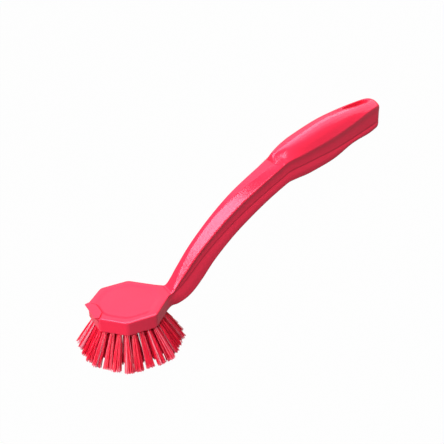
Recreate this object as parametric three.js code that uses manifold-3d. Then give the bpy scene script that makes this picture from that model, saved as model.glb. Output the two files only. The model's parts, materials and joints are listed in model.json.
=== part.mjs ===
import * as THREE from 'three';
import { mergeGeometries, mergeVertices } from 'three/addons/utils/BufferGeometryUtils.js';
import Module from 'manifold-3d';

const wasm = await Module();
wasm.setup();

// A dish brush: one plastic moulding with an octagon head, a rising neck and a thick grip, and tufts
// of bristle folded over flat wire anchors in blind holes under the head. Sizes are in mm. While it is
// shaped the head lies level: x runs from the nose to the tail, z is up from the rim of the head's top
// and y = 0 is the middle. At the end the whole brush is leaned onto its bristles and tail.

// Clearance between neighbouring pieces.
const gap = 0.3;

// Head: octagon, its upright edges, the dish in its top and the rim round the pocket under it.
const headAcross = 50;
const headCorner = 4.2;
const headBevel = 0.6;
const dishInset = 7.5;
const dishDepth = 0.5;
const dishRamp = 2.5;
const rimWall = 1.9;

// Scraper lip at the nose: its front edge, its shoulder on the nose and its root in the head's top.
const lipReach = 2.2;
const lipHalf = 9.4;
const lipShoulder = 0.7;
const lipShoulderHalf = 10.3;
const lipRoot = 4.4;
const lipRootHalf = 5.2;
const lipThickness = 2.9;
const lipEdge = 0.5;
const lipStep = 0.55;

// Tufts: rings of them from the middle out with their splay in degrees, the drop to the trimmed tips,
// the slice of the head's underside that they stand on, and what is left over and outside their holes.
const tuftPlan = [
  { name: 'core', count: 1, splay: 0 },
  { name: 'inner', count: 6, splay: 18 },
  { name: 'middle', count: 18, splay: 28 },
  { name: 'outer', count: 28, splay: 32 },
];
const bristleDrop = 23.4;
const sliceThickness = 1.2;
const holeRoof = 3.3;
const holeWall = 0.5;

// Strands of one tuft: one in the middle, the others round it, apart at the root and wider at the tips.
const strandsAround = 6;
const strandRadius = 0.42;
const strandGap = 0.1;
const strandTipSpread = 2.1;

// Anchors: flat wire cuts, wider than the hole. A tuft's legs run up both sides of one and fold over it.
const anchorWidth = 3.2;
const anchorHeight = 1.6;
const anchorThickness = 0.4;
const legThickness = 0.45;
const legLength = 2;
const foldHeight = 0.7;

// Hanging hole through the tail: pointed at the front, round at the back, and the wall behind it.
const hangLength = 23;
const hangHalf = 3;
const hangTip = 0.4;
const hangTaper = 13;
const hangWall = 7.9;

// Handle: how far it runs past the head and rises over it, the half width and depth of the grip where it
// is thickest, the parting line that stands out past the edge, and the belly that is narrower than it.
const handleReach = 180.3;
const handleRise = 112.7;
const gripHalf = 12;
const gripDepth = 29.6;
const partingStep = 0.5;
const bellyShare = 0.82;
const bellyRound = 1.3;
const ringsPerSection = 2;

// The head is as high as its tuft holes need, and its rear flat is as wide as an octagon's side.
const holeDepth = sliceThickness + gap + legLength + anchorHeight + gap + foldHeight + gap;
const headHeight = holeDepth + holeRoof + dishDepth;
const rearHalf = headAcross / 2 * Math.tan(Math.PI / 8);
const sink = 0.05;

// The neck's root is as wide as the head's rear flat and as deep as the head, in percent of the grip.
const rearShare = 100 * rearHalf / gripHalf;
const headShare = 100 * headHeight / gripDepth;
const sinkShare = 100 * sink / gripDepth;

// Handle sections, with a kink where the grip starts. Each row: percent of the reach and of the rise at
// its top, lean in degrees, then percent of the grip's half width for the half width and crown of the
// top, and the half width of the edge and its slide along the handle, and percent of the grip's depth
// for the drop of the edge, the drop of the parting line and the depth of the section.
const neckRows = [
  [-2.2, 0, 0, 54, 0, rearShare * 1.3, 0, 1.7, 3.4, headShare - sinkShare],
  [0, 0, 4, 50, 0, rearShare * 0.94, 0, 1.7, 3.4, headShare],
  [1.7, 0, 12, 47, 0, 62, 0, 1.7, 3.4, headShare * 1.01],
  [3.3, 0.4, 25, 43, 0, 52, 0, 2.7, 5.7, headShare * 1.2],
  [5.2, 5, 46, 34, 0, 52, 0, 6.4, 12, 57],
  [7.8, 12.6, 56, 25, 0, 53, 0, 11, 19, 67],
  [13.6, 26.4, 51, 17, 0, 58, 0, 15.5, 26, 70],
  [22.6, 42, 43.5, 17, 0, 65, 0, 18.5, 32, 72],
  [31.8, 54.1, 36, 25, 0, 72, 0, 17.5, 34, 71],
  [41.2, 63.4, 32, 35, 0, 78, 0, 14, 32, 66],
  [49, 70.6, 30, 40, 0, 85, 33, 9, 29, 63],
];
const gripRows = [
  neckRows[neckRows.length - 1],
  [50.7, 74.3, 29, 45, 3, 87, 25, 15.5, 36, 73],
  [53.2, 78.3, 27, 53, 8, 90, 8, 24, 44, 83],
  [56.6, 81.5, 25.5, 63, 17, 93, 0, 30, 50, 92],
  [61, 85.4, 23.5, 71, 24, 97, 0, 35, 56, 98],
  [72.1, 92.3, 16, 71, 27, 100, 0, 39, 63, 100],
  [83.2, 96.6, 11, 62, 18, 92, 0, 31, 61.5, 85.5],
  [92.1, 99.1, 8, 52, 12, 82, 0, 18, 55.5, 80.5],
  [96.5, 100, 5, 43, 8, 74, 0, 12.5, 51.5, 74.5],
  [98.4, 99.6, 4, 37, 8, 66, 0, 10, 48.5, 68],
  [99.6, 98.4, 3, 30, 7, 55, 0, 8, 43, 59.5],
  [100, 96.9, 3, 25, 5, 43, 0, 6, 37, 49.5],
];

const bodyPlastic = new THREE.MeshStandardMaterial({ color: 0xe8264a, roughness: 0.35, metalness: 0 });
const bristlePlastic = new THREE.MeshStandardMaterial({ color: 0xd61636, roughness: 0.45, metalness: 0 });
const anchorMetal = new THREE.MeshStandardMaterial({ color: 0xb8b2a4, roughness: 0.35, metalness: 1 });

// Solid from a closed geometry, and a named mesh from a solid.
function toSolid(geometry) {
  const bare = geometry.clone();
  bare.deleteAttribute('normal');
  bare.deleteAttribute('uv');
  const merged = mergeVertices(bare, 1e-4);
  const shell = {
    numProp: 3,
    vertProperties: merged.attributes.position.array,
    triVerts: new Uint32Array(merged.index.array),
  };
  return new wasm.Manifold(new wasm.Mesh(shell));
}

function toMesh(solid, name, material) {
  const shell = solid.getMesh();
  const geometry = new THREE.BufferGeometry();
  geometry.setAttribute('position', new THREE.BufferAttribute(shell.vertProperties, 3));
  geometry.setIndex(new THREE.BufferAttribute(shell.triVerts, 1));
  const mesh = new THREE.Mesh(geometry, material);
  mesh.name = name;
  return mesh;
}

// Many separate small geometries as one solid.
function toSolidGroup(geometries) {
  const bare = geometries.map((item) => {
    const copy = item.index ? item.toNonIndexed() : item.clone();
    copy.deleteAttribute('normal');
    copy.deleteAttribute('uv');
    return copy;
  });
  return toSolid(mergeGeometries(bare));
}

// Closed skin over a row of rings with the same number of points, convex at both ends.
function loft(rings) {
  const count = rings[0].length;
  const positions = rings.flat().flatMap((point) => [point.x, point.y, point.z]);
  const indices = [];
  for (let ring = 0; ring < rings.length - 1; ring += 1) {
    for (let i = 0; i < count; i += 1) {
      const a = ring * count + i;
      const b = ring * count + ((i + 1) % count);
      indices.push(a, b, b + count, a, b + count, a + count);
    }
  }
  const last = (rings.length - 1) * count;
  for (let i = 1; i < count - 1; i += 1) {
    indices.push(0, i + 1, i);
    indices.push(last, last + i, last + i + 1);
  }
  const geometry = new THREE.BufferGeometry();
  geometry.setAttribute('position', new THREE.Float32BufferAttribute(positions, 3));
  geometry.setIndex(indices);
  return geometry;
}

// Octagon with two flats across x, its corners rounded, about the middle of the head.
function octagonPath(path, apothem, radius) {
  for (let side = 0; side < 8; side += 1) {
    const angle = (side + 0.5) * Math.PI / 4;
    const reach = (apothem - radius) / Math.cos(Math.PI / 8);
    const x = headAcross / 2 + reach * Math.cos(angle);
    const y = reach * Math.sin(angle);
    path.absarc(x, y, radius, angle - Math.PI / 8, angle + Math.PI / 8);
  }
  path.closePath();
  return path;
}

// Octagon plate with sharp corners, whole or with an octagon opening.
function octagonPoints(apothem) {
  const reach = apothem / Math.cos(Math.PI / 8);
  return Array.from({ length: 8 }, (_, side) => new THREE.Vector2(
    headAcross / 2 + reach * Math.cos((side + 0.5) * Math.PI / 4),
    reach * Math.sin((side + 0.5) * Math.PI / 4),
  ));
}

function octagonPlate(apothem, low, high, inner) {
  const shape = new THREE.Shape(octagonPoints(apothem));
  if (inner) {
    shape.holes.push(new THREE.Path(octagonPoints(inner)));
  }
  const options = { depth: high - low, bevelEnabled: false };
  return new THREE.ExtrudeGeometry(shape, options).translate(0, 0, low);
}

// Ring of one handle section: from the top down one side, under the belly and up the other side. The
// edge slides along the handle, and what lies under it slides less and less.
function sectionRing(row) {
  const [reach, rise, lean, ...shares] = row;
  const [flat, crown, edge, slide] = shares.slice(0, 4).map((share) => gripHalf * share / 100);
  const [edgeDrop, partDrop, depth] = shares.slice(4).map((share) => gripDepth * share / 100);
  const angle = THREE.MathUtils.degToRad(lean);
  const x = headAcross + handleReach * reach / 100;
  const top = handleRise * rise / 100 - sink;
  const part = edge + partingStep;
  const belly = part * bellyShare;
  const half = [
    [flat / 2, crown / 4],
    [flat, crown],
    [edge, edgeDrop],
    [part, partDrop],
    [part * 0.6 + belly * 0.4, partDrop * 0.4 + depth * 0.6],
    [belly, depth - bellyRound],
    [belly * 0.6, depth - bellyRound / 8],
  ];
  const place = (y, drop) => {
    const under = (drop - edgeDrop) / (depth - edgeDrop);
    const ahead = Math.abs(y) < edge && under < 0 ? 0 : slide * (1 - Math.max(under, 0));
    return new THREE.Vector3(
      x + drop * Math.sin(angle) + ahead * Math.cos(angle),
      y,
      top - drop * Math.cos(angle) + ahead * Math.sin(angle),
    );
  };
  const near = half.map(([y, drop]) => place(-y, drop));
  const far = half.map(([y, drop]) => place(y, drop)).reverse();
  return [place(0, 0), ...near, place(0, depth), ...far];
}

// Row between two of the rows, on a smooth curve through its neighbours.
function rowBetween(rows, index, share) {
  const last = rows.length - 1;
  const around = [index - 1, index, index + 1, index + 2];
  const four = around.map((i) => rows[Math.min(Math.max(i, 0), last)]);
  return four[1].map((value, column) => {
    const [a, b, c, d] = four.map((row) => row[column]);
    const linear = (c - a) * share;
    const square = (2 * a - 5 * b + 4 * c - d) * share ** 2;
    const cube = (3 * b - a - 3 * c + d) * share ** 3;
    return b + (linear + square + cube) / 2;
  });
}

function handleSolid() {
  const rings = [];
  [neckRows, gripRows].forEach((rows) => {
    for (let index = 0; index < rows.length - 1; index += 1) {
      for (let step = 0; step < ringsPerSection; step += 1) {
        rings.push(sectionRing(rowBetween(rows, index, step / ringsPerSection)));
      }
    }
  });
  rings.push(sectionRing(gripRows[gripRows.length - 1]));
  return toSolid(loft(rings));
}

// Head: bevelled octagon with a dish in its top.
function headSolid() {
  const shape = octagonPath(new THREE.Shape(), headAcross / 2, headCorner);
  const block = new THREE.ExtrudeGeometry(shape, {
    depth: headHeight - 2 * headBevel,
    bevelThickness: headBevel,
    bevelSize: headBevel,
    bevelOffset: -headBevel,
    bevelSegments: 1,
    curveSegments: 2,
  }).translate(0, 0, headBevel - headHeight);
  const lift = 0.1;
  const floor = octagonPath(new THREE.Shape(), headAcross / 2 - dishInset, headCorner);
  const dish = new THREE.ExtrudeGeometry(floor, {
    depth: 1,
    bevelThickness: dishDepth + lift,
    bevelSize: dishRamp,
    bevelSegments: 1,
    curveSegments: 2,
  }).translate(0, 0, lift);
  return toSolid(block).subtract(toSolid(dish));
}

// Scraper lip: a wedge, thick at the nose wall and thin at its front edge.
function lipSolid() {
  const rows = [
    [-lipReach, lipHalf, lipEdge],
    [lipShoulder, lipShoulderHalf, lipThickness],
    [lipRoot, lipRootHalf, lipThickness],
  ];
  const rings = rows.map(([x, half, thickness]) => [
    new THREE.Vector3(x, half, lipStep),
    new THREE.Vector3(x, -half, lipStep),
    new THREE.Vector3(x, -half, lipStep - thickness),
    new THREE.Vector3(x, half, lipStep - thickness),
  ]);
  return toSolid(loft(rings));
}

// Hanging hole: a pointed arch in plan, cut straight through the tail.
function hangingHole() {
  const back = headAcross + handleReach - hangWall;
  const front = back - hangLength;
  const shape = new THREE.Shape();
  shape.moveTo(front, hangTip);
  shape.lineTo(front, -hangTip);
  shape.quadraticCurveTo(front + hangTaper / 2, -hangHalf, front + hangTaper, -hangHalf);
  shape.lineTo(back - hangHalf, -hangHalf);
  shape.absarc(back - hangHalf, 0, hangHalf, -Math.PI / 2, Math.PI / 2);
  shape.lineTo(front + hangTaper, hangHalf);
  shape.quadraticCurveTo(front + hangTaper / 2, hangHalf, front, hangTip);
  const options = { depth: 2 * handleRise, bevelEnabled: false, curveSegments: 4 };
  return toSolid(new THREE.ExtrudeGeometry(shape, options));
}

// Tuft holes have six flats that clear the folded legs, and the outer ring of them stays inside the slice.
const legsHalf = anchorThickness / 2 + gap + legThickness;
const legsShare = 0.9;
const holeRadius = legsHalf / legsShare + gap;
const holeCorner = holeRadius / Math.cos(Math.PI / 6);
const sliceEdge = headAcross / 2 - rimWall - gap;
const outerRing = tuftPlan.length - 1;
const outerSplay = THREE.MathUtils.degToRad(tuftPlan[outerRing].splay);
const outerReach = sliceEdge - holeWall - holeCorner / Math.cos(outerSplay);
const tuftPitch = outerReach / outerRing;

// Where a tuft stands under the head and which way it points.
function tuftFrame(splay, x, y) {
  const tilt = THREE.MathUtils.degToRad(splay);
  const around = Math.atan2(y, x);
  const out = new THREE.Vector3(Math.cos(around), Math.sin(around), 0);
  const side = new THREE.Vector3(-Math.sin(around), Math.cos(around), 0);
  const down = out.clone().multiplyScalar(Math.sin(tilt));
  down.z = -Math.cos(tilt);
  const across = new THREE.Vector3().crossVectors(down, side);
  const root = new THREE.Vector3(headAcross / 2 + x, y, -headHeight);
  return { root, down, side, across };
}

// Tufts of one ring, evenly spaced round an octagon from the middle of its rear side.
function tuftsOfRing(ring) {
  const { count, splay } = tuftPlan[ring];
  const corners = octagonPoints(ring * tuftPitch);
  return Array.from({ length: count }, (_, i) => {
    const run = (i * 8 / count + 7.5) % 8;
    const side = Math.floor(run);
    const spot = corners[side].clone().lerp(corners[(side + 1) % 8], run - side);
    return tuftFrame(splay, spot.x - headAcross / 2, spot.y);
  });
}

// Geometry made along z, turned so that z runs down a tuft, its middle at a depth up the hole.
function alongTuft(geometry, tuft, depth) {
  const matrix = new THREE.Matrix4().makeBasis(tuft.across, tuft.side, tuft.down.clone().negate());
  matrix.setPosition(tuft.root.clone().addScaledVector(tuft.down, -depth));
  return geometry.applyMatrix4(matrix);
}

const anchorDepth = sliceThickness + gap + legLength + anchorHeight / 2;

function anchorBox(tuft, room) {
  const box = new THREE.BoxGeometry(
    anchorThickness + 2 * room,
    anchorWidth + 2 * room,
    anchorHeight + 2 * room,
  );
  return alongTuft(box, tuft, anchorDepth);
}

// Blind hole, from just under the head up to the roof over it.
function tuftHole(tuft) {
  const below = 0.5;
  const rod = new THREE.CylinderGeometry(holeCorner, holeCorner, holeDepth + below, 6).rotateX(Math.PI / 2);
  return alongTuft(rod, tuft, (holeDepth - below) / 2);
}

// Folded root of a tuft in its hole, before room is made for the anchor: clear of the hole's flats.
function tuftPlug(tuft) {
  const top = holeDepth - gap;
  const bottom = sliceThickness / 2;
  const sideHalf = (holeRadius - gap - legsHalf / 2) / Math.cos(Math.PI / 6);
  const root = new THREE.BoxGeometry(2 * legsHalf, 2 * sideHalf, top - bottom);
  return alongTuft(root, tuft, (top + bottom) / 2);
}

// Direction square to a tuft, turned about it.
function aroundTuft(tuft, turn) {
  const across = tuft.across.clone().multiplyScalar(Math.cos(turn));
  return across.addScaledVector(tuft.side, Math.sin(turn));
}

// One strand: three sides, from inside the slice to the level the bristles are trimmed at.
function strand(tuft, rootSpread, tipSpread, turn) {
  const aim = aroundTuft(tuft, turn);
  const start = tuft.root.clone().addScaledVector(aim, rootSpread);
  start.addScaledVector(tuft.down, -sliceThickness / 2);
  const end = tuft.root.clone().addScaledVector(aim, tipSpread);
  end.addScaledVector(tuft.down, bristleDrop / -tuft.down.z);
  const axis = end.clone().sub(start);
  const trim = -headHeight - bristleDrop;
  const rings = [[], []];
  for (let corner = 0; corner < 3; corner += 1) {
    const arm = aroundTuft(tuft, turn - corner * Math.PI * 2 / 3);
    const foot = start.clone().addScaledVector(arm, strandRadius);
    const run = (trim - foot.z) / axis.z;
    rings[0].push(foot);
    rings[1].push(foot.clone().addScaledVector(axis, run));
  }
  return loft(rings);
}

function strandsOf(tuft) {
  const rootSpread = (2 * strandRadius + strandGap) / (2 * Math.sin(Math.PI / strandsAround));
  const strands = [strand(tuft, 0, 0, 0)];
  for (let i = 0; i < strandsAround; i += 1) {
    strands.push(strand(tuft, rootSpread, strandTipSpread, i * Math.PI * 2 / strandsAround));
  }
  return strands;
}

// One ring of tufts on a slice of the head's underside, each tuft folded over room for its anchor.
function bristleSolid(ring, tufts) {
  const edge = ring === outerRing ? sliceEdge : (ring + 0.5) * tuftPitch - gap / 2;
  const inner = ring > 0 ? (ring - 0.5) * tuftPitch + gap / 2 : 0;
  const slice = octagonPlate(edge, -headHeight, sliceThickness - headHeight, inner);
  const anchorRoom = toSolidGroup(tufts.map((tuft) => anchorBox(tuft, gap)));
  const plugs = toSolidGroup(tufts.map(tuftPlug)).subtract(anchorRoom);
  const strands = toSolidGroup(tufts.flatMap(strandsOf));
  return toSolid(slice).add(plugs).add(strands);
}

const rings = tuftPlan.map(({ name }, ring) => ({ name, ring, tufts: tuftsOfRing(ring) }));
const allTufts = rings.flatMap((entry) => entry.tufts);

const pocketTop = sliceThickness + gap - headHeight;
const pocket = octagonPlate(headAcross / 2 - rimWall, -headHeight - 1, pocketTop);
const body = headSolid()
  .add(handleSolid())
  .add(lipSolid())
  .subtract(hangingHole())
  .subtract(toSolid(pocket))
  .subtract(toSolidGroup(allTufts.map(tuftHole)))
  .subtract(toSolidGroup(allTufts.map((tuft) => anchorBox(tuft, gap))));

const brush = new THREE.Group();
brush.add(toMesh(body, 'handle_body', bodyPlastic));
rings.forEach(({ name, ring, tufts }) => {
  brush.add(toMesh(bristleSolid(ring, tufts), 'bristles_' + name, bristlePlastic));
});
rings.forEach(({ name, tufts }) => {
  tufts.forEach((tuft, i) => {
    const label = 'anchor_' + name + '_' + String(i + 1).padStart(2, '0');
    brush.add(toMesh(toSolid(anchorBox(tuft, 0)), label, anchorMetal));
  });
});

// The brush rests on its rear bristle tips and the underside of its tail: the lean that brings both
// to one level, found by turning the line between their lowest points until it settles.
function pointsOf(mesh) {
  const position = mesh.geometry.attributes.position;
  const length = position.count;
  return Array.from({ length }, (_, i) => new THREE.Vector3().fromBufferAttribute(position, i));
}

const bristlePoints = brush.children.filter((mesh) => mesh.material === bristlePlastic).flatMap(pointsOf);
const gripStart = headAcross + handleReach / 2;
const tailPoints = pointsOf(brush.children[0]).filter((point) => point.x > gripStart);

function lowest(points, slope) {
  return points.reduce((a, b) => (b.z - slope * b.x < a.z - slope * a.x ? b : a));
}

let slope = 0;
for (let pass = 0; pass < 12; pass += 1) {
  const front = lowest(bristlePoints, slope);
  const back = lowest(tailPoints, slope);
  slope = (back.z - front.z) / (back.x - front.x);
}

brush.rotation.y = Math.atan(slope);
const bounds = new THREE.Box3().setFromObject(brush, true);
const middle = bounds.getCenter(new THREE.Vector3());
brush.position.set(-middle.x, 0, -bounds.min.z);

const part = new THREE.Group();
part.add(brush);

export default part;
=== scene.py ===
import json
import math
import random
from collections import namedtuple

import bmesh
import bpy
from mathutils import Matrix, Vector


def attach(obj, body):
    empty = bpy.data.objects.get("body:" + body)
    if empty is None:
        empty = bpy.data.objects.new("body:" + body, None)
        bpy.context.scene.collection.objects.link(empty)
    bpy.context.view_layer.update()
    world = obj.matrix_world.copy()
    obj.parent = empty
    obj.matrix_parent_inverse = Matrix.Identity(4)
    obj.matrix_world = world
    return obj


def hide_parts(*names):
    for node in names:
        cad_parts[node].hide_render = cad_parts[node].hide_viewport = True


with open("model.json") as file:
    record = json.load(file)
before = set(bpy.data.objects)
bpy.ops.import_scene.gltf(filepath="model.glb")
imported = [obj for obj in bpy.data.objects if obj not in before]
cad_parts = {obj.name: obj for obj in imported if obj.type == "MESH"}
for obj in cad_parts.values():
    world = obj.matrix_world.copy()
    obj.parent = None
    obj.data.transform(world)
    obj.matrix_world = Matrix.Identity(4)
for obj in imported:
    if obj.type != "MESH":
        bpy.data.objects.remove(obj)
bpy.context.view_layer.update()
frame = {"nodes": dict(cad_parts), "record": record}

# Handle and head: one injection moulding in red plastic, an octagonal head with a dished top that runs
# on into a neck and a thick grip. It is drawn in millimetres with the head level, x from the nose to the
# tail and z up from the head's rim, and the flat face on the head's top says how it leans.
MM = 0.001
HEAD_ACROSS = 50
HEAD_HEIGHT = 10.2
DISH_DEPTH = 0.5
head_top = next(mount for mount in frame["record"]["mounts"] if mount["name"] == "head_top")
lean = Matrix.Rotation(math.atan2(head_top["axis"][0], head_top["axis"][2]), 4, "Y")
dish_middle = Matrix.Translation(Vector((HEAD_ACROSS / 2, 0, -DISH_DEPTH)))
seat = Matrix.Translation(head_top["pos_m"]) @ lean @ Matrix.Scale(MM, 4) @ dish_middle.inverted()


def add_piece(name, vertices, faces):
    mesh = bpy.data.meshes.new(name)
    mesh.from_pydata(vertices, [], faces)
    mesh.transform(seat)
    mesh.validate()
    piece = bpy.data.objects.new(name, mesh)
    bpy.context.scene.collection.objects.link(piece)
    return piece


def soft_min(first, second, width):
    share = max(width - abs(first - second), 0) / width
    return min(first, second) - share * share * width / 4


def smooth_step(value):
    share = min(max(value, 0), 1)
    return share * share * (3 - 2 * share)


# Plan of the head: half width at a distance behind the nose, with rounded upright edges. The rear
# diagonals run straight on towards the neck.
OCTAGON = 8
CORNER = 4.2
CORNER_TANGENT = CORNER * math.tan(math.pi / OCTAGON)
NOSE_HALF = HEAD_ACROSS / 2 * math.tan(math.pi / OCTAGON)


def head_half(x):
    if x < CORNER * (1 - math.cos(2 * math.pi / OCTAGON)):
        front = NOSE_HALF - CORNER_TANGENT + math.sqrt(max(CORNER ** 2 - (CORNER - x) ** 2, 0))
    else:
        front = NOSE_HALF + x
    rear = NOSE_HALF + HEAD_ACROSS - x
    return soft_min(soft_min(front, HEAD_ACROSS / 2, CORNER_TANGENT), rear, CORNER_TANGENT)


# Dish: how far the head's top lies under its rim, by the distance inside the outline. It closes again
# where the neck starts to rise.
RIM_WIDTH = 3.6
DISH_RAMP = 3.8
DISH_SOFT = 3
DISH_REAR = HEAD_ACROSS + 2
DISH_REAR_SLOPE = 0.8
DISH_END = HEAD_ACROSS + 4


def dish_drop(x, y):
    side = HEAD_ACROSS / 2 - abs(y)
    front = (NOSE_HALF + x - abs(y)) / math.sqrt(2)
    rear = (NOSE_HALF + HEAD_ACROSS - x - abs(y)) / math.sqrt(2)
    inside = soft_min(soft_min(side, front, DISH_SOFT), rear, DISH_SOFT)
    inside = soft_min(soft_min(inside, x, DISH_SOFT), (DISH_REAR - x) * DISH_REAR_SLOPE, DISH_SOFT)
    return DISH_DEPTH * smooth_step((inside - RIM_WIDTH) / DISH_RAMP)


# Hanging hole: pointed at the front, round at the back. The tail's surface rolls over into it.
HOLE_BACK = 222.4
HOLE_LENGTH = 23
HOLE_HALF = 3
HOLE_TIP = 0.4
HOLE_TAPER = 13
HOLE_ROLL = 0.8
ROLL_LIMIT = 0.95
HOLE_FRONT = HOLE_BACK - HOLE_LENGTH
HOLE_CENTRE = HOLE_BACK - HOLE_HALF


def hole_half(x):
    share = min(max((x - HOLE_FRONT) / HOLE_TAPER, 0), 1)
    return HOLE_TIP + (HOLE_HALF - HOLE_TIP) * (1 - (1 - share) ** 2)


def hole_distance(x, y):
    if x > HOLE_CENTRE:
        return math.hypot(x - HOLE_CENTRE, y) - HOLE_HALF
    beside = abs(y) - hole_half(x)
    return math.copysign(math.hypot(min(x - HOLE_FRONT, 0), beside), beside)


def hole_drop(x, y):
    near = min(max(1 - hole_distance(x, y) / HOLE_ROLL, 0), ROLL_LIMIT)
    return HOLE_ROLL * (1 - math.sqrt(1 - near ** 2))


# Sections from the rear of the head to the tail, kinked where the grip starts: place and height, lean in
# degrees, half width and crown of the top, half width, drop and slide along the handle of the sharp edge,
# step and drop of the parting line, share of the width left at the belly, depth.
Section = namedtuple("Section", "x top lean flat crown edge edge_drop slide step part_drop belly depth")
NECK_START = 46
FULL_STEP = 0.5
NECK = [
    Section(NECK_START, 0, 0, 7, 0, head_half(NECK_START), 0, 0, 0, 4.6, 1, HEAD_HEIGHT),
    Section(HEAD_ACROSS, 0, 4, 6.2, 0, head_half(HEAD_ACROSS), 0, 0, 0.05, 4, 0.95, HEAD_HEIGHT),
    Section(53, 0, 12, 5.6, 0, 7.7, 0.1, 0, 0.15, 2.6, 0.92, 10.3),
    Section(56, 0.4, 25, 5.1, 0, 6.5, 0.7, 0, 0.35, 2, 0.88, 12.3),
    Section(59.3, 5.6, 46, 4.1, 0, 6.2, 1.9, 0, FULL_STEP, 5, 0.9, 16.8),
    Section(64, 14.2, 56, 3, 0, 6.4, 3.3, 0, FULL_STEP, 7.9, 0.9, 19.6),
    Section(74.6, 29.8, 51, 2.1, 0, 7, 4.9, 0, FULL_STEP, 10.4, 0.9, 20.6),
    Section(90.7, 47.3, 43.5, 2, 0, 7.8, 5.8, 0, FULL_STEP, 12.3, 0.9, 21.1),
    Section(107.4, 61, 36, 3, 0, 8.6, 5.4, 0, FULL_STEP, 12.8, 0.9, 20.8),
    Section(124.3, 71.5, 32, 4.2, 0, 9.3, 4.4, 0, FULL_STEP, 12.2, 0.9, 19.3),
    Section(138.4, 79.6, 30, 4.8, 0, 10.2, 3, 4, FULL_STEP, 11.4, 0.9, 18.4),
]
GRIP = [
    NECK[-1],
    Section(139.4, 84.9, 29, 2.6, 0.7, 10.4, 6.9, 4.3, FULL_STEP, 15.2, 0.9, 22.8),
    Section(145.8, 89.2, 27, 4.8, 1.3, 10.8, 8.3, 1, FULL_STEP, 16.7, 0.9, 25.4),
    Section(152, 92.5, 25.5, 6.6, 2, 11.2, 9.7, 0, FULL_STEP, 18.2, 0.9, 27.3),
    Section(160, 96.2, 23.5, 8, 2.8, 11.6, 10.8, 0, FULL_STEP, 19.4, 0.9, 28.4),
    Section(180, 104, 16, 8.5, 3.2, 12, 11.8, 0, FULL_STEP, 21.6, 0.9, 29),
    Section(200, 108.9, 11, 7.5, 2.2, 11, 9.2, 0, FULL_STEP, 20.6, 0.9, 24.8),
    Section(216, 111.7, 8, 6.2, 1.4, 9.8, 5.3, 0, FULL_STEP, 18.4, 0.9, 23.4),
    Section(224, 112.7, 5, 5.2, 1, 8.9, 3.7, 0, 0.4, 17, 0.9, 21.7),
    Section(227.5, 112.2, 4, 4.4, 0.9, 7.9, 3, 0, 0.25, 15.6, 0.9, 20),
    Section(229.4, 110.9, 3, 3.6, 0.8, 6.6, 2.4, 0, 0.1, 13.4, 0.9, 17.6),
    Section(230, 109.2, 3, 3, 0.6, 5.2, 1.8, 0, 0, 11.3, 0.9, 14.6),
]


def row_between(rows, index, share):
    last = len(rows) - 1
    around = [rows[min(max(i, 0), last)] for i in range(index - 1, index + 3)]
    return Section(*[
        b + ((c - a) * share + (2 * a - 5 * b + 4 * c - d) * share ** 2
             + (3 * b - a - 3 * c + d) * share ** 3) / 2
        for a, b, c, d in zip(*around)
    ])


def head_row(x):
    half = head_half(x)
    return Section(x, 0, 0, half / 2, 0, half, 0, 0, 0, HEAD_HEIGHT / 2, 1, HEAD_HEIGHT)


# Outline of one half of a section, from the top's middle to the belly's: straight runs between soft
# corners. The top's corners soften with its crown. The step at the parting line sharpens the edge,
# hollows the side under it and flares the side below the line.
CROWN_START = 0.35
CROWN_SOFT = 5
CREASE_SOFT = 0.15
EDGE_SOFT = 2.2
EDGE_SHARPENING = 2.6
HOLLOW = 2.6
HOLLOW_AT = 0.42
HOLLOW_SOFT = 4
PART_SOFT = 0.3
FLARE = 0.9
FLARE_AT = 0.5
FLARE_SOFT = 3
BELLY_SOFT = 0.6
BELLY_SOFTENING = 1.6
RUN_POINTS = (7, 7, 14, 4, 5, 6, 5, 10)
CORNER_POINTS = 5
EDGE_CORNER = 3
PART_CORNER = 5


def corner_start(corner):
    return sum(RUN_POINTS[:corner]) + (corner - 1) * (CORNER_POINTS - 1)


def towards(here, other, soft):
    length = (other - here).length
    return here.lerp(other, min(soft / length, 0.5)) if length else here


def half_section(row):
    hollow_drop = row.edge_drop + HOLLOW_AT * (row.part_drop - row.edge_drop)
    flare_drop = row.part_drop + FLARE_AT * (row.depth - row.part_drop)
    corners = [
        ((0, 0), 0),
        ((row.flat * CROWN_START, 0), CROWN_SOFT * row.crown),
        ((row.flat, row.crown), CREASE_SOFT + CROWN_SOFT * row.crown),
        ((row.edge, row.edge_drop), EDGE_SOFT - EDGE_SHARPENING * row.step),
        ((row.edge - HOLLOW * row.step, hollow_drop), HOLLOW_SOFT * row.step),
        ((row.edge - HOLLOW * row.step, row.part_drop), PART_SOFT),
        ((row.edge - FLARE * row.step, flare_drop), FLARE_SOFT * row.step),
        ((row.edge * row.belly, row.depth), BELLY_SOFT + BELLY_SOFTENING * row.step),
        ((0, row.depth), 0),
    ]
    spots = [Vector(spot) for spot, _ in corners]
    points = [spots[0]]
    for i in range(1, len(corners)):
        soft = corners[i][1]
        arrive = towards(spots[i], spots[i - 1], soft)
        run = RUN_POINTS[i - 1]
        start = points[-1]
        points += [start.lerp(arrive, k / run) for k in range(1, run)]
        if i < len(corners) - 1:
            leave = towards(spots[i], spots[i + 1], soft)
            for k in range(CORNER_POINTS):
                t = k / (CORNER_POINTS - 1)
                points.append((1 - t) ** 2 * arrive + 2 * t * (1 - t) * spots[i] + t ** 2 * leave)
    points.append(spots[-1])
    return points


# Ring round the moulding at a section: its half outline, leaned and set in place, and the mirror of it.
# The nose is rounded, and the points of the top sink into the dish and roll into the hanging hole.
NOSE_ROUND = 0.8
ROLL_REACH = 3 * HOLE_ROLL
TOP_END = corner_start(EDGE_CORNER)


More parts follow.
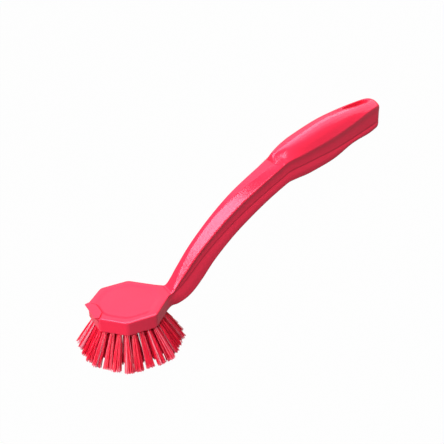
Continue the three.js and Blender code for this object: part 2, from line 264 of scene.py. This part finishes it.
def ring_of(row):
    angle = math.radians(row.lean)
    inset = 0
    if row.x < NOSE_ROUND:
        inset = NOSE_ROUND - math.sqrt(NOSE_ROUND ** 2 - (NOSE_ROUND - row.x) ** 2)
    half = []
    for k, (y, drop) in enumerate(half_section(row)):
        ahead = 0
        if row.slide and drop > row.edge_drop:
            ahead = row.slide * max(1 - (drop - row.edge_drop) / (row.depth - row.edge_drop), 0)
        elif row.slide and y > row.flat:
            ahead = row.slide * (y - row.flat) / (row.edge - row.flat)
        place_x = row.x + drop * math.sin(angle) + ahead * math.cos(angle)
        place_z = row.top - drop * math.cos(angle) + ahead * math.sin(angle)
        if inset:
            y = max(y - inset, 0) if k else 0
            place_z = min(max(place_z, inset - HEAD_HEIGHT), -inset)
        if k <= TOP_END and place_x < DISH_END:
            place_z -= dish_drop(place_x, y)
        if k <= TOP_END and place_x > HOLE_FRONT - ROLL_REACH:
            place_z -= hole_drop(place_x, y)
        half.append((place_x, y, place_z))
    near = [(px, -py, pz) for px, py, pz in half]
    return near + half[-2:0:-1]


NOSE_RINGS = 6
HEAD_RINGS = 72
RINGS_PER_SECTION = 10
stations = [NOSE_ROUND * (1 - math.cos(k * math.pi / 2 / NOSE_RINGS)) for k in range(NOSE_RINGS + 1)]
stations += [NOSE_ROUND + (NECK_START - NOSE_ROUND) * k / HEAD_RINGS for k in range(1, HEAD_RINGS)]
loft_rows = [head_row(x) for x in stations]
for rows in (NECK, GRIP):
    for index in range(len(rows) - 1):
        loft_rows += [row_between(rows, index, k / RINGS_PER_SECTION) for k in range(RINGS_PER_SECTION)]
loft_rows.append(GRIP[-1])
rings = [ring_of(row) for row in loft_rows]
ring_size = len(rings[0])


def loft_faces(ring_count, size):
    faces = [tuple(range(size))[::-1], tuple(range((ring_count - 1) * size, ring_count * size))]
    for ring in range(ring_count - 1):
        for k in range(size):
            a = ring * size + k
            b = ring * size + (k + 1) % size
            faces.append((a, b, b + size, a + size))
    return faces


handle = add_piece("handle_moulding", [p for ring in rings for p in ring], loft_faces(len(rings), ring_size))

# Parting line of the mould, marked on the skin so that its finish can paint shade along it: painted shade
# for the shadow that falls in the crease at the line.
part_line = range(corner_start(PART_CORNER), corner_start(PART_CORNER) + CORNER_POINTS)
parting_shade_values = [
    row.step / FULL_STEP if min(k, ring_size - k) in part_line else 0
    for row in loft_rows for k in range(ring_size)
]
handle.data.attributes.new("parting_shade", "FLOAT", "POINT").data.foreach_set("value", parting_shade_values)

# Scraper lip at the nose: a wedge moulded on, a little proud of the rim and thin at its front edge. A
# narrow groove in the rim runs round its back. Each row: x behind the nose, half width, thickness.
LIP_TOP = 0.5
LIP_ROWS = [(-2.2, 9.4, 0.5), (0.7, 10.3, 2.9), (4.4, 5.2, 2.9)]
GROOVE_TOP = 2
GROOVE_ROWS = [(-1, 12.6, 2.7), (0.9, 11.5, 2.7), (5.3, 5.9, 2.7)]


def add_wedge(name, top, rows):
    points = []
    for x, half, thickness in rows:
        low = top - thickness
        points += [(x, half, top), (x, -half, top), (x, -half, low), (x, half, low)]
    return add_piece(name, points, loft_faces(len(rows), 4))


groove = add_wedge("lip_groove", GROOVE_TOP, GROOVE_ROWS)
lip = add_wedge("scraper_lip", LIP_TOP, LIP_ROWS)

# Places of the tufts, in rings: one in the middle and then along octagons. Each ring: how many tufts it
# has, and by how many degrees they splay.
TUFT_RINGS = {"core": (1, 0), "inner": (6, 18), "middle": (18, 28), "outer": (28, 32)}
OUTER_REACH = 20.45
PITCH = OUTER_REACH / (len(TUFT_RINGS) - 1)


def tuft_frame(splay, x, y):
    tilt = math.radians(splay)
    around = math.atan2(y, x)
    down = Vector((math.cos(around) * math.sin(tilt), math.sin(around) * math.sin(tilt), -math.cos(tilt)))
    side = Vector((-math.sin(around), math.cos(around), 0))
    root = Vector((HEAD_ACROSS / 2 + x, y, -HEAD_HEIGHT))
    return root, down, side, down.cross(side)


def tufts_of(ring, count, splay):
    reach = ring * PITCH / math.cos(math.pi / OCTAGON)
    turns = [(side + 0.5) * 2 * math.pi / OCTAGON for side in range(OCTAGON + 1)]
    corners = [Vector((math.cos(turn), math.sin(turn))) * reach for turn in turns]
    tufts = []
    for k in range(count):
        run = (k * OCTAGON / count + OCTAGON - 0.5) % OCTAGON
        spot = corners[int(run)].lerp(corners[int(run) + 1], run % 1)
        tufts.append(tuft_frame(splay, spot.x, spot.y))
    return tufts


tuft_rings = {name: tufts_of(ring, *TUFT_RINGS[name]) for ring, name in enumerate(TUFT_RINGS)}

# Cuts: the hanging hole right through the tail, and a round blind hole for each tuft.
HOLE_LOW = 40
HOLE_HIGH = 140
TAPER_POINTS = 10
ARC_POINTS = 16
TUFT_HOLE = 1.36
TUFT_HOLE_DEPTH = 6.4
TUFT_HOLE_OVERRUN = 2
TUFT_HOLE_SIDES = 20
cut_points = []
cut_faces = []


def add_cut(low, high):
    base = len(cut_points)
    cut_points.extend(low + high)
    for face in loft_faces(2, len(low)):
        cut_faces.append(tuple(base + i for i in face))


def about(across, side, turn):
    return across * math.cos(turn) + side * math.sin(turn)


taper = [HOLE_FRONT + HOLE_TAPER * k / TAPER_POINTS for k in range(TAPER_POINTS + 1)]
arc = [math.pi * k / ARC_POINTS for k in range(ARC_POINTS + 1)]
outline = [(x, hole_half(x)) for x in taper]
outline += [(HOLE_CENTRE + HOLE_HALF * math.sin(a), HOLE_HALF * math.cos(a)) for a in arc]
outline += [(x, -hole_half(x)) for x in reversed(taper)]
add_cut([(x, y, HOLE_LOW) for x, y in outline], [(x, y, HOLE_HIGH) for x, y in outline])
hole_turns = [2 * math.pi * k / TUFT_HOLE_SIDES for k in range(TUFT_HOLE_SIDES)]
for tufts in tuft_rings.values():
    for root, down, side, across in tufts:
        circle = [root + about(across, side, turn) * TUFT_HOLE for turn in hole_turns]
        add_cut([tuple(p + down * TUFT_HOLE_OVERRUN) for p in circle],
                [tuple(p - down * TUFT_HOLE_DEPTH) for p in circle])
cutter = add_piece("tuft_and_hanging_holes", cut_points, cut_faces)

# One skin: the groove and the holes are cut out of the moulding, and the lip is joined to it.
MERGE = 0.005
CREASE_ANGLE = 32


def close_skin(piece, merge):
    bm = bmesh.new()
    bm.from_mesh(piece.data)
    if merge:
        bmesh.ops.remove_doubles(bm, verts=bm.verts, dist=merge * MM)
    bmesh.ops.recalc_face_normals(bm, faces=bm.faces)
    bm.to_mesh(piece.data)
    bm.free()


close_skin(handle, MERGE)
for tool, operation in ((groove, "DIFFERENCE"), (lip, "UNION"), (cutter, "DIFFERENCE")):
    close_skin(tool, MERGE)
    cut = handle.modifiers.new(tool.name, "BOOLEAN")
    cut.operation = operation
    cut.solver = "EXACT"
    cut.object = tool
shaped = bpy.data.meshes.new_from_object(handle.evaluated_get(bpy.context.evaluated_depsgraph_get()))
handle.modifiers.clear()
handle.data = shaped
for tool in (groove, lip, cutter):
    bpy.data.objects.remove(tool)
shaped.shade_smooth()
shaped.set_sharp_from_angle(angle=math.radians(CREASE_ANGLE))


# Shader sums: a socket that Python's operators work on, and one way to add any other node.
class Shade:
    def __init__(self, tree, socket=None):
        self.tree = tree
        self.socket = socket

    def node(self, kind, settings=None, sockets=None, output=0):
        made = self.tree.nodes.new("ShaderNode" + kind)
        for name, value in (settings or {}).items():
            setattr(made, name, value)
        for name, value in (sockets or {}).items():
            if isinstance(value, Shade):
                self.tree.links.new(value.socket, made.inputs[name])
            else:
                made.inputs[name].default_value = value
        return Shade(self.tree, made.outputs[output] if made.outputs else None)

    def math(self, operation, first, second):
        return self.node("Math", {"operation": operation}, {0: first, 1: second})

    def __add__(self, other):
        return self.math("ADD", self, other)

    __radd__ = __add__

    def __mul__(self, other):
        return self.math("MULTIPLY", self, other)

    __rmul__ = __mul__

    def blend(self, first, second):
        # Sockets 6 and 7 and output 2 are the ones for colours.
        return self.node("Mix", {"data_type": "RGBA"}, {0: self, 6: first, 7: second}, 2)


def new_finish(name):
    material = bpy.data.materials.new(name)
    material.use_nodes = True
    material.node_tree.nodes.clear()
    return material, Shade(material.node_tree)


def surface(shade, sockets):
    shader = shade.node("BsdfPrincipled", None, sockets)
    shade.node("OutputMaterial", None, {"Surface": shader})


# Red moulded plastic: satin gloss, a faint cloudiness from the flow in the mould, a fine grain, and painted
# shade along the parting line for the shadow in its crease.
RED_THIN = (0.84, 0.025, 0.066, 1)
RED_FULL = (0.92, 0.030, 0.076, 1)
# Painted shade: the colour the parting line is darkened towards, standing in for the shadow in its crease.
PARTING_SHADE_RED = (0.26, 0.006, 0.014, 1)
PARTING_SHADE_SHARE = 0.5
GLOSS_TINT = (1, 0.7, 1, 1)
red_plastic, shade = new_finish("red_plastic")
place = shade.node("TexCoord", output="Object")
flow = shade.node("TexNoise", None, {"Vector": place, "Scale": 45.0, "Detail": 3.0})
grain = shade.node("TexNoise", None, {"Vector": place, "Scale": 2600.0, "Detail": 2.0})
parting_shade = shade.node("Attribute", {"attribute_name": "parting_shade"}, output="Fac")
surface(shade, {
    "Base Color": (PARTING_SHADE_SHARE * parting_shade).blend(flow.blend(RED_THIN, RED_FULL), PARTING_SHADE_RED),
    "Roughness": 0.13 + 0.04 * flow + 0.03 * grain,
    "Specular IOR Level": 0.5,
    "Specular Tint": GLOSS_TINT,
    "Normal": shade.node("Bump", None, {"Height": grain, "Strength": 0.05, "Distance": 0.0002}),
})
handle.data.materials.clear()
handle.data.materials.append(red_plastic)
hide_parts("handle_body")
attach(handle, "root")

# Anchors: short cuts of flat drawn wire over the folds of the tufts, driven into the head and hidden
# there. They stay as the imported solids, with drawing lines along the wire and a dull cut surface.
WIRE_DULL = (0.42, 0.40, 0.35, 1)
WIRE_BRIGHT = (0.56, 0.54, 0.49, 1)
drawn_wire, shade = new_finish("drawn_wire")
place = shade.node("TexCoord", output="Object")
lines = shade.node("TexNoise", None, {"Vector": place, "Scale": 900.0, "Detail": 2.0})
surface(shade, {
    "Base Color": lines.blend(WIRE_DULL, WIRE_BRIGHT),
    "Metallic": 1.0,
    "Roughness": 0.28 + 0.2 * lines,
})
for name, node in frame["nodes"].items():
    if name.startswith("anchor_"):
        node.data.materials.clear()
        node.data.materials.append(drawn_wire)

# Bristles: glossy red filaments, folded in half in bundles and driven into the holes under the head.
# Each bundle falls apart into seven locks towards its tips, which are trimmed level and a little ragged.
# The bundles at the nose splay a little less than the others.
LOCKS_AROUND = 6
LOCK_ROOT = 0.75
LOCK_TIPS = {"core": 3.2, "inner": 3.2, "middle": 3.2, "outer": 2.3}
LOCK_OPENING = 0.7
LOCK_FILAMENTS = 11
FILAMENT_ROOT = 0.38
FILAMENT_TIP = 1.0
FILAMENT_RADIUS = 0.2
FILAMENT_SIDES = 5
FILAMENT_STEPS = 5
FILAMENT_CREASE = 80
BRISTLE_DROP = 23.4
ROOT_DEPTH = 3
NOSE_DRAW = 0.87
TUFT_STRAY = 0.03
LOCK_STRAY = 0.4
FILAMENT_STRAY = 0.6
RAGGED = 1.3
GOLDEN_TURN = math.pi * (3 - math.sqrt(5))

# Dyed filaments: each has its own tone, partly shared with its lock and its tuft. The palest are painted
# pale pink, a painted highlight for the light the glossy filaments catch, and the tips are paler too.
TUFT_TONE = 0.15
LOCK_TONE = 0.45
FILAMENT_TONE = 0.4
DYED_DEEP = (0.86, 0.004, 0.026, 1)
DYED_LIGHT = (0.98, 0.034, 0.10, 1)
SHEEN_PINK = (1.0, 0.42, 0.52, 1)
TIP_PINK = (0.95, 0.25, 0.36, 1)
bristle_red, shade = new_finish("bristle_red")
along = shade.node("Attribute", {"attribute_name": "along"}, output="Fac")
tone = shade.node("Attribute", {"attribute_name": "tone"}, output="Fac")
# Painted highlight: filaments picked by their tone are painted towards pale pink for the sheen they catch.
painted_sheen = shade.node("MapRange", None, {"Value": tone, "From Min": 0.62, "From Max": 0.84, "To Max": 0.85})
tip = shade.node("MapRange", None, {"Value": along, "From Min": 0.93, "From Max": 1.0, "To Max": 0.4})
dyed = tone.blend(DYED_DEEP, DYED_LIGHT)
surface(shade, {
    "Base Color": tip.blend(painted_sheen.blend(dyed, SHEEN_PINK), TIP_PINK),
    "Roughness": 0.2 + 0.12 * tone,
    "Specular IOR Level": 0.4,
})

SEED = 7
dice = random.Random(SEED)


def lock_filaments(root, down, side, across, aim, lock_tip, tuft_tone):
    shift = about(across, side, dice.uniform(0, 2 * math.pi)) * dice.random() * LOCK_STRAY
    lock_tone = dice.random()
    for i in range(LOCK_FILAMENTS):
        own = about(across, side, i * GOLDEN_TURN) * math.sqrt((i + 0.5) / LOCK_FILAMENTS)
        stray = about(across, side, dice.uniform(0, 2 * math.pi)) * dice.random() * FILAMENT_STRAY
        length = (BRISTLE_DROP - RAGGED * dice.random() ** 2) / -down.z
        path = []
        for k in range(FILAMENT_STEPS + 1):
            run = (length + ROOT_DEPTH) * k / FILAMENT_STEPS - ROOT_DEPTH
            free = max(run, 0) / length
            lock_reach = LOCK_ROOT + (lock_tip - LOCK_ROOT) * free ** LOCK_OPENING
            own_reach = FILAMENT_ROOT + (FILAMENT_TIP - FILAMENT_ROOT) * free
            path.append(root + down * run + aim * lock_reach + own * own_reach + (shift + stray) * free ** 2)
        yield path, TUFT_TONE * tuft_tone + LOCK_TONE * lock_tone + FILAMENT_TONE * dice.random()


lock_turns = [2 * math.pi * k / LOCKS_AROUND for k in range(LOCKS_AROUND)]
skin_turns = [2 * math.pi * k / FILAMENT_SIDES for k in range(FILAMENT_SIDES)]
for name, tufts in tuft_rings.items():
    points = []
    faces = []
    along_values = []
    tone_values = []
    for root, down, side, across in tufts:
        spin = dice.uniform(0, 2 * math.pi)
        tuft_tone = dice.random()
        if down.x < 0:
            down = Vector((down.x * NOSE_DRAW, down.y, down.z)).normalized()
        down = (down + about(across, side, spin) * dice.random() * TUFT_STRAY).normalized()
        aims = [Vector()] + [about(across, side, spin + turn) for turn in lock_turns]
        skin = [about(across, side, turn) * FILAMENT_RADIUS for turn in skin_turns]
        for aim in aims:
            filaments = lock_filaments(root, down, side, across, aim, LOCK_TIPS[name], tuft_tone)
            for path, filament_tone in filaments:
                base = len(points)
                for k, point in enumerate(path):
                    points += [point + arm for arm in skin]
                    along_values += [k / FILAMENT_STEPS] * FILAMENT_SIDES
                    tone_values += [filament_tone] * FILAMENT_SIDES
                faces += [tuple(base + i for i in face) for face in loft_faces(len(path), FILAMENT_SIDES)]
    bristles = add_piece("bristle_filaments_" + name, [tuple(p) for p in points], faces)
    for label, values in (("along", along_values), ("tone", tone_values)):
        bristles.data.attributes.new(label, "FLOAT", "POINT").data.foreach_set("value", values)
    close_skin(bristles, 0)
    bristles.data.shade_smooth()
    bristles.data.set_sharp_from_angle(angle=math.radians(FILAMENT_CREASE))
    bristles.data.materials.append(bristle_red)
    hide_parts("bristles_" + name)
    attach(bristles, "root")

# Studio: a plain pale floor under the brush, white to the camera, and a white surround that gives only a
# little light of its own.
FLOOR_HALF = 4.0
FLOOR_WHITE = 0.985
FLOOR_MIRRORED = 0.15
FLOOR_PAPER = (0.12, 0.12, 0.12, 1)
SURROUND_LIGHT = 0.03
SURROUND_WHITE = 0.97
SURROUND_MIRRORED = 0.07
WHITE = (1, 1, 1, 1)
floor_corners = [(x * FLOOR_HALF, y * FLOOR_HALF, 0) for x, y in ((-1, -1), (1, -1), (1, 1), (-1, 1))]
floor_mesh = bpy.data.meshes.new("floor")
floor_mesh.from_pydata(floor_corners, [], [(0, 1, 2, 3)])
floor = bpy.data.objects.new("floor", floor_mesh)
bpy.context.scene.collection.objects.link(floor)


def seen_and_mirrored(shade):
    camera_ray = shade.node("LightPath", output="Is Camera Ray")
    through_ray = shade.node("LightPath", output="Is Transmission Ray")
    return camera_ray + through_ray, shade.node("LightPath", output="Is Glossy Ray")


pale_floor, shade = new_finish("pale_floor")
seen, mirrored = seen_and_mirrored(shade)
shade.node("OutputMaterial", None, {"Surface": shade.node("MixShader", None, {
    0: FLOOR_WHITE * seen + FLOOR_MIRRORED * mirrored,
    1: shade.node("BsdfDiffuse", None, {"Color": FLOOR_PAPER}),
    2: shade.node("Emission", None, {"Color": WHITE, "Strength": 1.0}),
})})
floor_mesh.materials.append(pale_floor)

world = bpy.data.worlds.new("studio")
world.use_nodes = True
world.node_tree.nodes.clear()
bpy.context.scene.world = world
shade = Shade(world.node_tree)
seen, mirrored = seen_and_mirrored(shade)
shade.node("OutputWorld", None, {"Surface": shade.node("Background", None, {
    "Color": WHITE,
    "Strength": SURROUND_LIGHT + SURROUND_WHITE * seen + SURROUND_MIRRORED * mirrored,
})})

# Soft boxes round the brush: above it, over the camera for the neck's long facet, three behind one
# another for the soft edge of the light on the grip's crown, and weak ones behind, at the tail and at the
# nose. Each row: direction from the brush, distance, width and height in metres, and power.
BRUSH_MIDDLE = Vector((99.2, 0, 41.7))
SOFT_BOXES = {
    "top_box": ((-0.1, 0.15, 0.98), 1.0, 0.78, 0.78, 11.0),
    "camera_box": ((-0.22, -0.57, 0.78), 1.0, 0.98, 0.27, 7.5),
    "crown_core": ((0.66, 0.3, 0.69), 1.0, 0.45, 0.8, 3.2),
    "crown_wide": ((0.68, 0.1, 0.72), 1.05, 0.84, 0.84, 3.1),
    "crown_veil": ((0.7, 0, 0.72), 1.1, 1.3, 0.88, 2.7),
    "back_box": ((0.5, 0.76, 0.42), 1.0, 0.8, 0.6, 1.0),
    "rear_box": ((0.97, -0.04, 0.16), 1.0, 1.2, 0.6, 4.2),
    "nose_box": ((-0.9, 0.1, 0.35), 1.0, 0.5, 0.5, 1.7),
}
for name, (direction, distance, width, height, power) in SOFT_BOXES.items():
    lamp = bpy.data.lights.new(name, "AREA")
    lamp.shape = "RECTANGLE"
    lamp.size = width
    lamp.size_y = height
    lamp.energy = power
    box = bpy.data.objects.new(name, lamp)
    bpy.context.scene.collection.objects.link(box)
    outward = Vector(direction).normalized()
    box.location = seat @ BRUSH_MIDDLE + outward * distance
    box.rotation_euler = outward.to_track_quat("Z", "Y").to_euler()

# Camera at the photograph's angle to the level head, and at its distance in millimetres.
AZIMUTH = math.radians(-29.7)
ELEVATION = math.radians(26.4)
DISTANCE = 470
SENSOR = 36
FOCAL_PIXELS = 667
IMAGE_PIXELS = 444
CLIP_START = 0.01
level = math.cos(ELEVATION)
back = Vector((math.sin(AZIMUTH) * level, -math.cos(AZIMUTH) * level, math.sin(ELEVATION)))
right = Vector((math.cos(AZIMUTH), math.sin(AZIMUTH), 0))
facing = Matrix((right, back.cross(right), back)).transposed()
lens = bpy.data.cameras.new("camera")
lens.sensor_width = SENSOR
lens.lens = SENSOR * FOCAL_PIXELS / IMAGE_PIXELS
lens.clip_start = CLIP_START
camera = bpy.data.objects.new("camera", lens)
bpy.context.scene.collection.objects.link(camera)
eye = Matrix.Translation(seat @ (BRUSH_MIDDLE + DISTANCE * back))
camera.matrix_world = eye @ (lean.to_3x3() @ facing).to_4x4()
bpy.context.scene.camera = camera
bpy.context.scene.view_settings.view_transform = "Standard"
